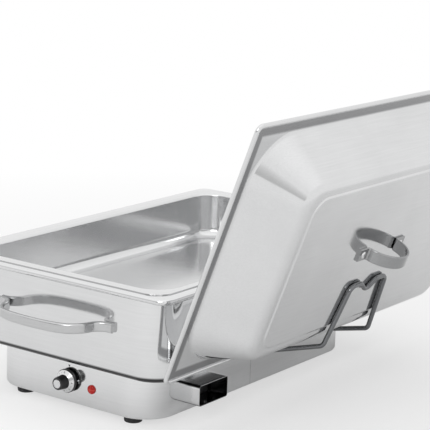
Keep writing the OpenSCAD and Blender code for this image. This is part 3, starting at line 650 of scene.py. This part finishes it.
# The lid's flange gets a painted dark reflection.
paint_flange_shade(lid_steel)
drawn_steel = steel("drawn_steel", 0.64, 0.76, 0.12, 0.20, ALL_WAYS, 1600.0, 0.02)
casing_steel = steel("casing_steel", 0.70, 0.84, 0.06, 0.12, ALONG_WALLS, 2000.0, 0.012)
polished_steel = steel("polished_steel", 0.70, 0.77, 0.05, 0.10, ALL_WAYS, 900.0, 0.004)
shroud_steel = steel("shroud_steel", 0.70, 0.77, 0.06, 0.12, ALL_WAYS, 900.0, 0.004)
# The shroud's inside gets painted shade.
paint_shroud_shade(shroud_steel)
handle_steel = steel("handle_steel", 0.48, 0.62, 0.17, 0.27, ALONG_BOW, 1800.0, 0.01)
# This steel is darker than the others: painted shade, standing in for the dark surroundings that
# the lid's strap mirrors. The inlet's screws share it.
strap_steel = steel("strap_steel", 0.30, 0.38, 0.05, 0.11, ALL_WAYS, 900.0, 0.004)
dark_wire = metal("dark_wire", (0.14, 0.144, 0.15), (0.22, 0.224, 0.23),
                  0.06, 0.14, ALL_WAYS, 1500.0, 0.01)
plated_steel = metal("plated_steel", (0.52, 0.53, 0.55), (0.64, 0.65, 0.67),
                     0.18, 0.34, ALL_WAYS, 1800.0, 0.03)
mill_alloy = metal("mill_alloy", (0.57, 0.58, 0.60), (0.68, 0.69, 0.71),
                   0.28, 0.45, ALONG_PLATE, 1200.0, 0.05)
heat_dulled = metal("heat_dulled", (0.20, 0.19, 0.18), (0.38, 0.36, 0.34),
                    0.35, 0.60, ALL_WAYS, 400.0, 0.08)
spun_alloy = metal("spun_alloy", (0.68, 0.685, 0.69), (0.80, 0.805, 0.81),
                   0.16, 0.28, ALONG_DIAL, 3000.0, 0.02)
black_rubber = moulded("black_rubber", (0.012, 0.012, 0.013), (0.035, 0.035, 0.037),
                       0.55, 0.78, 1400.0, 0.35)
black_plastic = moulded("black_plastic", (0.010, 0.010, 0.011), (0.028, 0.028, 0.030),
                        0.28, 0.45, 2600.0, 0.18)
printed_black = moulded("printed_black", (0.008, 0.008, 0.009), (0.020, 0.020, 0.021),
                        0.40, 0.55, 3000.0, 0.05)
red_lens = lens_plastic()

# Nodes that keep their own shape
CARRIED_OVER = {
    casing_steel: ("seam_straps", "base_plate"),
    plated_steel: ("foot_screws", "foot_nuts", "pan_studs", "pan_nuts", "clamp_bars", "clamp_studs",
                   "clamp_nuts", "thermostat", "thermostat_shaft", "thermostat_bulb",
                   "handle_screws"),
    mill_alloy: ("heat_spreader",),
    heat_dulled: ("heating_element",),
    dark_wire: ("thermostat_screws",),
    black_plastic: ("thermal_cutout", "lamp_body"),
    black_rubber: ("handle_washers",),
}
for node_finish, node_names in CARRIED_OVER.items():
    for node_name in node_names:
        node_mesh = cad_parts[node_name].data
        node_mesh.materials.clear()
        node_mesh.materials.append(node_finish)


# Water pan, food pan and casing

def make_water_pan():
    shell = draw_sheet("water_pan_shell", [
        (PAN, BASE_TOP), (PAN, RIM_TOP - SHEET), (shrunk(RIM, RIM_BEAD / 2), RIM_TOP - SHEET)],
        bends=[(0, PAN_FLOOR_BEND, 6), (1, PAN_RIM_BEND, 3)], close_first=True)
    finish_mesh(shell, SHEET)
    edge = bead("water_pan_edge", RIM, RIM_TOP - RIM_BEAD / 2, RIM_BEAD)
    whole = join("water_pan_finish", shell, edge)
    settle(whole, move(DISH_X, 0, 0))
    put(whole, "dish", satin_steel, "steel", "water_pan")


def make_food_pan():
    shell = draw_sheet("food_pan_finish", [
        (FOOD, FOOD_FLOOR), (FOOD, RIM_TOP), (FOOD_RIM, RIM_TOP)],
        bends=[(0, FOOD_FLOOR_BEND, 7), (1, FOOD_RIM_BEND, 4)], close_first=True)
    finish_mesh(shell, SHEET)
    settle(shell, move(DISH_X, 0, 0))
    put(shell, "food_pan", drawn_steel, "pan_steel", "food_pan")


def make_casing_half(node, side):
    """One bent half of the casing: the rear for +1, the front for -1."""
    lip = shrunk(BASE, BASE_LIP)
    half = draw_sheet(node + "_finish", [
        (lip, BASE_LOW + SHEET), (BASE, BASE_LOW + SHEET), (BASE, BASE_TOP), (lip, BASE_TOP)],
        bends=[(1, BASE_BEND, 3), (2, BASE_BEND, 3)])
    settle(half, move(DISH_X, BASE_Y, 0))
    edit(half)
    pick_all()
    bpy.ops.mesh.bisect(plane_co=(0, SEAM_Y + side * SEAM_GAP / 2, 0), plane_no=(0, side, 0),
                        clear_inner=True)
    leave_edit()
    finish_mesh(half, SHEET)
    put(half, "dish", casing_steel, "steel", node)


make_water_pan()
make_food_pan()
make_casing_half("base_front", -1)
make_casing_half("base_rear", 1)


# Bow handles of the pan

def make_bow_handle(node, end):
    """The handle on one end of the pan: the rear for +1, the front for -1."""
    points = ([(-x, y, 0) for x, y in BOW_HALF] + [(0, BOW_APEX, 0)]
              + [(x, y, 0) for x, y in reversed(BOW_HALF)])
    bow = bent_bar(node + "_finish", points, BOW_BENDS, *BOW_BAR)
    finish_mesh(bow, angle=60)
    settle(bow, move(DISH_X, end * PAN[1] / 2, GRIP_Z) @ turn(0 if end > 0 else math.pi, "Z"))
    put(bow, "dish", handle_steel, "handle", node)


make_bow_handle("front_handle", -1)
make_bow_handle("rear_handle", 1)


# Lid, modelled lying flat and then parked in the holder

def make_lid():
    head = shrunk(DOME, DOME_H * math.tan(DOME_SLOPE))
    reach = math.tan((QUARTER - DOME_SLOPE) / 2)
    shell = draw_sheet("lid_shell_flat", [
        (shrunk(LID, LID_BEAD / 2), 0), (DOME, 0), (head, DOME_H), (EMBOSS, DOME_H),
        (shrunk(EMBOSS, EMBOSS_H), LID_TOP)],
        bends=[(1, DOME_FOOT_BEND * reach, 4), (2, DOME_HEAD_BEND * reach, 8),
               (3, EMBOSS_BEND, 3), (4, EMBOSS_BEND, 3)], close_last=True)
    finish_mesh(shell, SHEET)
    edge = bead("lid_edge", LID, -SHEET / 2, LID_BEAD)
    whole = join("lid_shell_finish", shell, edge)
    settle(whole, parked)
    put(whole, "lid", lid_steel, "steel", "lid_shell")


def make_lid_handle():
    """A flat strap: an arch between two feet, with rounded roots."""
    span, rise, foot = 0.084, 0.036, 0.018
    thick, width, eased = 0.003, 0.016, 0.001
    root, steps = 0.004, 40
    half = span / 2 - foot / 2
    radius = (half * half + rise * rise) / (2 * rise) - thick / 2
    centre = rise - thick / 2 - radius
    level = thick / 2
    sweep = math.acos((level + 1.5 * root - centre) / radius)
    angles = [sweep * (2 * i / steps - 1) for i in range(steps + 1)]
    arch = [(radius * math.sin(a), centre + radius * math.cos(a), 0) for a in angles]
    corner = half - thick / 2
    points = [(-half - foot, level, 0), (-corner, level, 0), *arch,
              (corner, level, 0), (half + foot, level, 0)]
    strap = bent_bar("lid_handle_finish", points, [root] + [0] * len(arch) + [root],
                     thick, width, eased)
    finish_mesh(strap, angle=50)
    settle(strap, parked @ move(0, 0, LID_TOP) @ turn(QUARTER, "Z") @ turn(QUARTER, "X"))
    put(strap, "lid", strap_steel, "handle", "lid_handle")


make_lid()
make_lid_handle()


# Wire holder

def make_lid_holder():
    points = HOLDER_HALF + [(x, -y, z) for x, y, z in reversed(HOLDER_HALF)]
    wire = bent_line("lid_holder_finish", points, [HOLDER_BEND] * (len(points) - 2))
    finish_mesh(to_tube(wire, WIRE / 2), angle=50)
    settle(wire, move(DISH_X, HOLDER_Y, 0))
    put(wire, "holder", dark_wire, "wire", "lid_holder")


make_lid_holder()


# Small pieces: controls, inlet, feet and fixings

def new_copy(name, mesh):
    """A new object with its own copy of a mesh."""
    twin = bpy.data.objects.new(name, mesh.copy())
    bpy.context.scene.collection.objects.link(twin)
    return twin


def dress(node, body, edge, finish, slot):
    """A copy of a node's solid with its sharp edges eased."""
    piece = new_copy(node + "_finish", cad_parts[node].data)
    edit(piece)
    pick_all()
    bpy.ops.mesh.remove_doubles(threshold=WELD)
    bpy.ops.mesh.dissolve_limited(angle_limit=math.radians(2))
    leave_edit()
    apply(piece, "ease", "BEVEL", width=edge, segments=2, angle_limit=math.radians(40))
    smooth(40)
    put(piece, body, finish, slot, node)


def copies(name, piece, places):
    """Sets a copy of a piece at each place, each with its own mesh, and joins them."""
    made = [settle(new_copy(name, piece.data), place) for place in places]
    bpy.data.objects.remove(piece)
    return join(name, *made)


def make_knob():
    """The black skirt and the grip, with a flute in every second face of the grip."""
    knob = turned("knob_finish", [
        (0, KNOB_BACK, 0), (SKIRT_RADIUS, KNOB_BACK, 0.0004), (SKIRT_RADIUS, SKIRT_TOP, 0.0006),
        (GRIP_RADIUS, SKIRT_TOP, 0.0004), (TIP_RADIUS, GRIP_END, 0.0007),
        (RECESS_RADIUS, GRIP_END, 0.0002), (RECESS_RADIUS, CAP_SEAT, 0), (0, CAP_SEAT, 0)],
        steps=KNOB_STEPS)
    face_angle = 360 / KNOB_STEPS
    lowest, highest, land, depth = 0.009, 0.021, 0.00012, 0.0003

    def fluted(face):
        angle = math.degrees(math.atan2(face.normal.y, face.normal.x))
        return (lowest < face.calc_center_median().z < highest and abs(face.normal.z) < 0.5
                and round(angle / face_angle + 0.5) % 2 == 0)

    edit(knob)
    pick("FACE", fluted)
    bpy.ops.mesh.inset(thickness=land, depth=-depth, use_individual=True)
    leave_edit()
    finish_mesh(knob, angle=40)
    settle(knob, at_knob)
    put(knob, "knob", black_plastic, "black", "knob")


def make_dial():
    """The silver dial, which rises from its edge to the grip."""
    inner, outer = DIAL_INNER[0], DIAL_OUTER[0]
    ring = turned("dial_face_finish", [
        (inner, SKIRT_TOP, 0), (outer, SKIRT_TOP, 0), (*DIAL_OUTER, 0.0003),
        (*DIAL_INNER, 0.0002), (inner, SKIRT_TOP, 0)], steps=KNOB_STEPS)
    finish_mesh(ring)
    settle(ring, at_knob)
    put(ring, "knob", spun_alloy, "silver", "dial_face")


def make_dial_print():
    """Plain numbers round the dial, each upright towards its rim, with a dot between them."""
    last, sweep, size, depth = 6, 270, 0.0036, 0.00008
    slope = math.atan2(DIAL_INNER[1] - DIAL_OUTER[1], DIAL_OUTER[0] - DIAL_INNER[0])
    middle = [(a + b) / 2 for a, b in zip(DIAL_OUTER, DIAL_INNER)]
    on_slope = move(0, *middle) @ turn(-slope, "X") @ move(0, 0, depth / 4)
    marks = []
    for index in range(2 * last + 1):
        if index % 2 == 0:
            bpy.ops.object.text_add(location=ORIGIN)
            mark = bpy.context.object
            mark.data.body = str(index // 2)
            mark.data.size = size
            mark.data.align_x, mark.data.align_y = "CENTER", "CENTER"
            mark.data.extrude = depth / 2
            only(mark)
            bpy.ops.object.convert(target="MESH")
        else:
            bpy.ops.mesh.primitive_cylinder_add(vertices=16, radius=0.00032, depth=depth,
                                                location=ORIGIN)
            mark = bpy.context.object
        round_dial = turn(math.radians(sweep * index / (2 * last)), "Z")
        marks.append(settle(mark, at_knob @ round_dial @ on_slope))
    put(join("dial_print", *marks), "knob", printed_black, "black")


def make_knob_cap():
    """The silver cap on the end of the grip, with a raised edge."""
    cap = turned("knob_cap_finish", [
        (0, CAP_SEAT, 0), (CAP_RADIUS, CAP_SEAT, 0), (CAP_RADIUS, 0.02305, 0.0003),
        (0.0048, 0.02325, 0.0001), (0.0044, 0.02300, 0.0001), (0, 0.02312, 0)])
    finish_mesh(cap, angle=25)
    settle(cap, at_knob)
    put(cap, "knob", spun_alloy, "silver", "knob_cap")


def make_index_mark():
    """The small printed pointer over the knob."""
    size, depth, over_knob = 0.0019, 0.00006, 0.0185
    bpy.ops.mesh.primitive_circle_add(vertices=3, radius=size, fill_type="NGON", location=ORIGIN)
    mark = bpy.context.object
    mark.name = "index_mark"
    edit(mark)
    pick_all()
    bpy.ops.mesh.extrude_region_move(TRANSFORM_OT_translate={"value": (0, 0, depth)})
    leave_edit()
    finish_mesh(mark)
    settle(mark, at_knob @ move(0, over_knob, 0) @ turn(math.pi, "Z"))
    put(mark, "dish", printed_black, "black")


def make_lamp_lens():
    radius, edge, rise, steps = 0.00575, 0.001, 0.0025, 7
    angles = [i * QUARTER / steps for i in range(1, steps)]
    dome = [(radius * math.cos(a), edge + rise * math.sin(a), 0) for a in angles]
    lens = turned("lamp_lens_finish", [
        (0, 0, 0), (radius, 0, 0), (radius, edge, 0.0002), *dome, (0, edge + rise, 0)])
    finish_mesh(lens, angle=60)
    settle(lens, at_lamp)
    put(lens, "dish", red_lens, "lens", "lamp_lens")


def make_inlet_shroud():
    tube = draw_sheet("inlet_shroud_finish", [(SHROUD, 0), (SHROUD, SHROUD_REACH)])
    finish_mesh(tube, SHEET)
    settle(tube, at_inlet)
    put(tube, "dish", shroud_steel, "steel", "inlet_shroud")


def make_screw_head(name, width, height):
    """A domed head with a cross recess, its underside at z = 0."""
    head = turned(name, [
        (0, 0, 0), (width / 2, 0, 0), (width / 2, height * 0.35, height * 0.15),
        (width * 0.37, height * 0.85, height * 0.2), (0, height, 0)], steps=32)
    finish_mesh(head, angle=50)
    for angle in (0, QUARTER):
        bpy.ops.mesh.primitive_cube_add(size=1, location=ORIGIN)
        slot = bpy.context.object
        settle(slot, move(0, 0, height) @ turn(angle, "Z")
               @ Matrix.Diagonal((width * 0.55, width * 0.12, height, 1)))
        only(head)
        apply(head, "recess", "BOOLEAN", operation="DIFFERENCE", object=slot)
        bpy.data.objects.remove(slot)
    smooth(40)
    return head


def make_inlet_screws():
    width, height, from_middle, flange = 0.00665, 0.001925, 0.020, 0.003
    head = make_screw_head("inlet_screw_heads", width, height)
    heads = copies("inlet_screws_finish", head, [
        at_inlet @ move(x, 0, flange) @ turn(0.5 + 9 * x, "Z")
        for x in (-from_middle, from_middle)])
    put(heads, "dish", strap_steel, "fastener", "inlet_screws")


def make_rivets():
    """The two rivets that hold the lid's handle, each with a head on both sides of the sheet."""
    head, shank, from_middle = 0.00475, 0.0026, 0.042
    rivet = turned("rivet", [
        (0, 0, 0), (head, 0, 0.0003), (head, 0.001, 0), (shank, 0.001, 0), (shank, 0.005, 0),
        (head, 0.005, 0), (head, 0.0055, 0.0003), (0.0035, 0.0065, 0.0006), (0, 0.007, 0)],
        steps=40)
    finish_mesh(rivet, angle=40)
    both = copies("lid_rivets_finish", rivet, [
        parked @ move(0, y, LID_TOP - 2 * SHEET) for y in (-from_middle, from_middle)])
    put(both, "lid", polished_steel, "fastener", "lid_rivets")


def make_feet():
    """Four rubber feet, each with a hole for its screw and a recess for the screw's head."""
    top, hole, recess, seat = BASE_LOW, 0.0022, 0.0048, 0.00405
    across, lengthways = 0.087, 0.2025
    foot = turned("foot", [
        (hole, top, 0), (0.0125, top, 0.0006), (0.01225, 0.0066, 0.0003), (0.01185, 0.0064, 0.0002),
        (0.0110, 0, 0.0010), (recess, 0, 0.0004), (recess, seat, 0), (hole, seat, 0),
        (hole, top, 0)], steps=48)
    finish_mesh(foot, angle=40)
    all_feet = copies("rubber_feet_finish", foot, [
        move(DISH_X + x * across, BASE_Y + y * lengthways, 0) for x in (-1, 1) for y in (-1, 1)])
    put(all_feet, "dish", black_rubber, "rubber", "rubber_feet")


make_knob()
make_dial()
make_dial_print()
make_knob_cap()
make_index_mark()
make_lamp_lens()
make_inlet_shroud()
make_inlet_screws()
make_rivets()
make_feet()
dress("inlet_socket", "dish", 0.0004, black_plastic, "black")
dress("inlet_pins", "dish", 0.0003, spun_alloy, "silver")
dress("holder_brackets", "dish", 0.0002, polished_steel, "steel")


# Floor, light and camera

CAMERA_PLACE = (DISH_X + 1.3191, -1.7735, 0.7014)
CAMERA_TURNS = ((35.7, "Z"), (77.45, "X"), (1.99, "Z"))
CAMERA_LENS = 143.86
SENSOR_WIDTH = 36
WHITE = (1, 1, 1, 1)
FLOOR_COLOUR = (0.93, 0.93, 0.93, 1)


def shows_background(tree):
    """Whether a ray comes from the camera, or through a mirror or a clear piece."""
    path = add_node(tree, "ShaderNodeLightPath").outputs
    seen = worked(tree, "MAXIMUM", path["Is Camera Ray"], path["Is Glossy Ray"])
    return worked(tree, "MAXIMUM", seen, path["Is Transmission Ray"])


def make_floor():
    """A white sweep: it keeps the shadow round the dish and is plain white farther off."""
    bpy.ops.object.select_all(action="DESELECT")
    bpy.ops.mesh.primitive_plane_add(size=30, location=ORIGIN)
    floor = bpy.context.object
    floor.name = "floor"
    made, tree, shader = new_material("pale_floor", base_color=FLOOR_COLOUR, roughness=0.9,
                                      specular_ior_level=0.1)
    away = add_node(tree, "ShaderNodeVectorMath", {0: object_place(tree)}, operation="LENGTH")
    path = add_node(tree, "ShaderNodeLightPath").outputs
    nearby = mapped(tree, path["Is Camera Ray"], low=0.12, high=0.60)
    whiteness = mapped(tree, away.outputs["Value"], 0.35, 1.4, nearby, 1.0)
    share = worked(tree, "MULTIPLY", whiteness, shows_background(tree))
    white = add_node(tree, "ShaderNodeEmission", {"Color": WHITE, "Strength": 1.0})
    mixed = add_node(tree, "ShaderNodeMixShader", {
        0: share, 1: shader.outputs[0], 2: white.outputs[0]})
    tree.links.new(mixed.outputs[0], tree.nodes["Material Output"].inputs["Surface"])
    floor.data.materials.append(made)


def make_world():
    """A white room, dimmer low on the front side and brighter overhead, for metal to mirror."""
    world = bpy.data.worlds.new("studio")
    bpy.context.scene.world = world
    world.use_nodes = True
    tree = world.node_tree
    place = add_node(tree, "ShaderNodeTexCoord").outputs["Generated"]
    height = along(tree, place, "Z")
    low = mapped(tree, height, 0.55, 0.25)
    front = mapped(tree, along(tree, place, "Y"), -0.60, -1.0)
    dimmed = mapped(tree, worked(tree, "MULTIPLY", low, front), low=1.0, high=0.25)
    overhead = mapped(tree, height, 0.45, 0.95, 1.0, 1.2)
    mirrored = worked(tree, "MULTIPLY", dimmed, overhead)
    lit = mixed_value(tree, shows_background(tree), 0.45, mirrored)
    path = add_node(tree, "ShaderNodeLightPath").outputs
    strength = mixed_value(tree, path["Is Camera Ray"], lit, 1.0)
    background = tree.nodes["Background"]
    background.inputs["Color"].default_value = WHITE
    tree.links.new(strength, background.inputs["Strength"])


def make_lamp(name, place, target, size, power, mirrored):
    bpy.ops.object.light_add(type="AREA", location=place)
    lamp = bpy.context.object
    lamp.name = name
    lamp.data.shape = "RECTANGLE"
    lamp.data.size, lamp.data.size_y = size
    lamp.data.energy = power
    lamp.visible_glossy = mirrored
    lamp.rotation_euler = (Vector(target) - Vector(place)).to_track_quat("-Z", "Y").to_euler()


def make_camera():
    bpy.ops.object.camera_add(location=CAMERA_PLACE)
    camera = bpy.context.object
    aim = Matrix.Identity(4)
    for degrees, axis in CAMERA_TURNS:
        aim = aim @ turn(math.radians(degrees), axis)
    camera.rotation_euler = aim.to_euler()
    camera.data.sensor_width = SENSOR_WIDTH
    camera.data.lens = CAMERA_LENS
    bpy.context.scene.camera = camera


make_floor()
make_world()
make_lamp("overhead", place=(-0.35, -0.45, 2.3), target=(0, 0, 0.1), size=(3.0, 3.0), power=28,
          mirrored=False)
make_lamp("side", place=(0.5, -2.0, 1.2), target=(0.1, -0.3, 0.0), size=(1.2, 0.8), power=12,
          mirrored=True)
make_camera()
bpy.context.scene.view_settings.view_transform = "Standard"
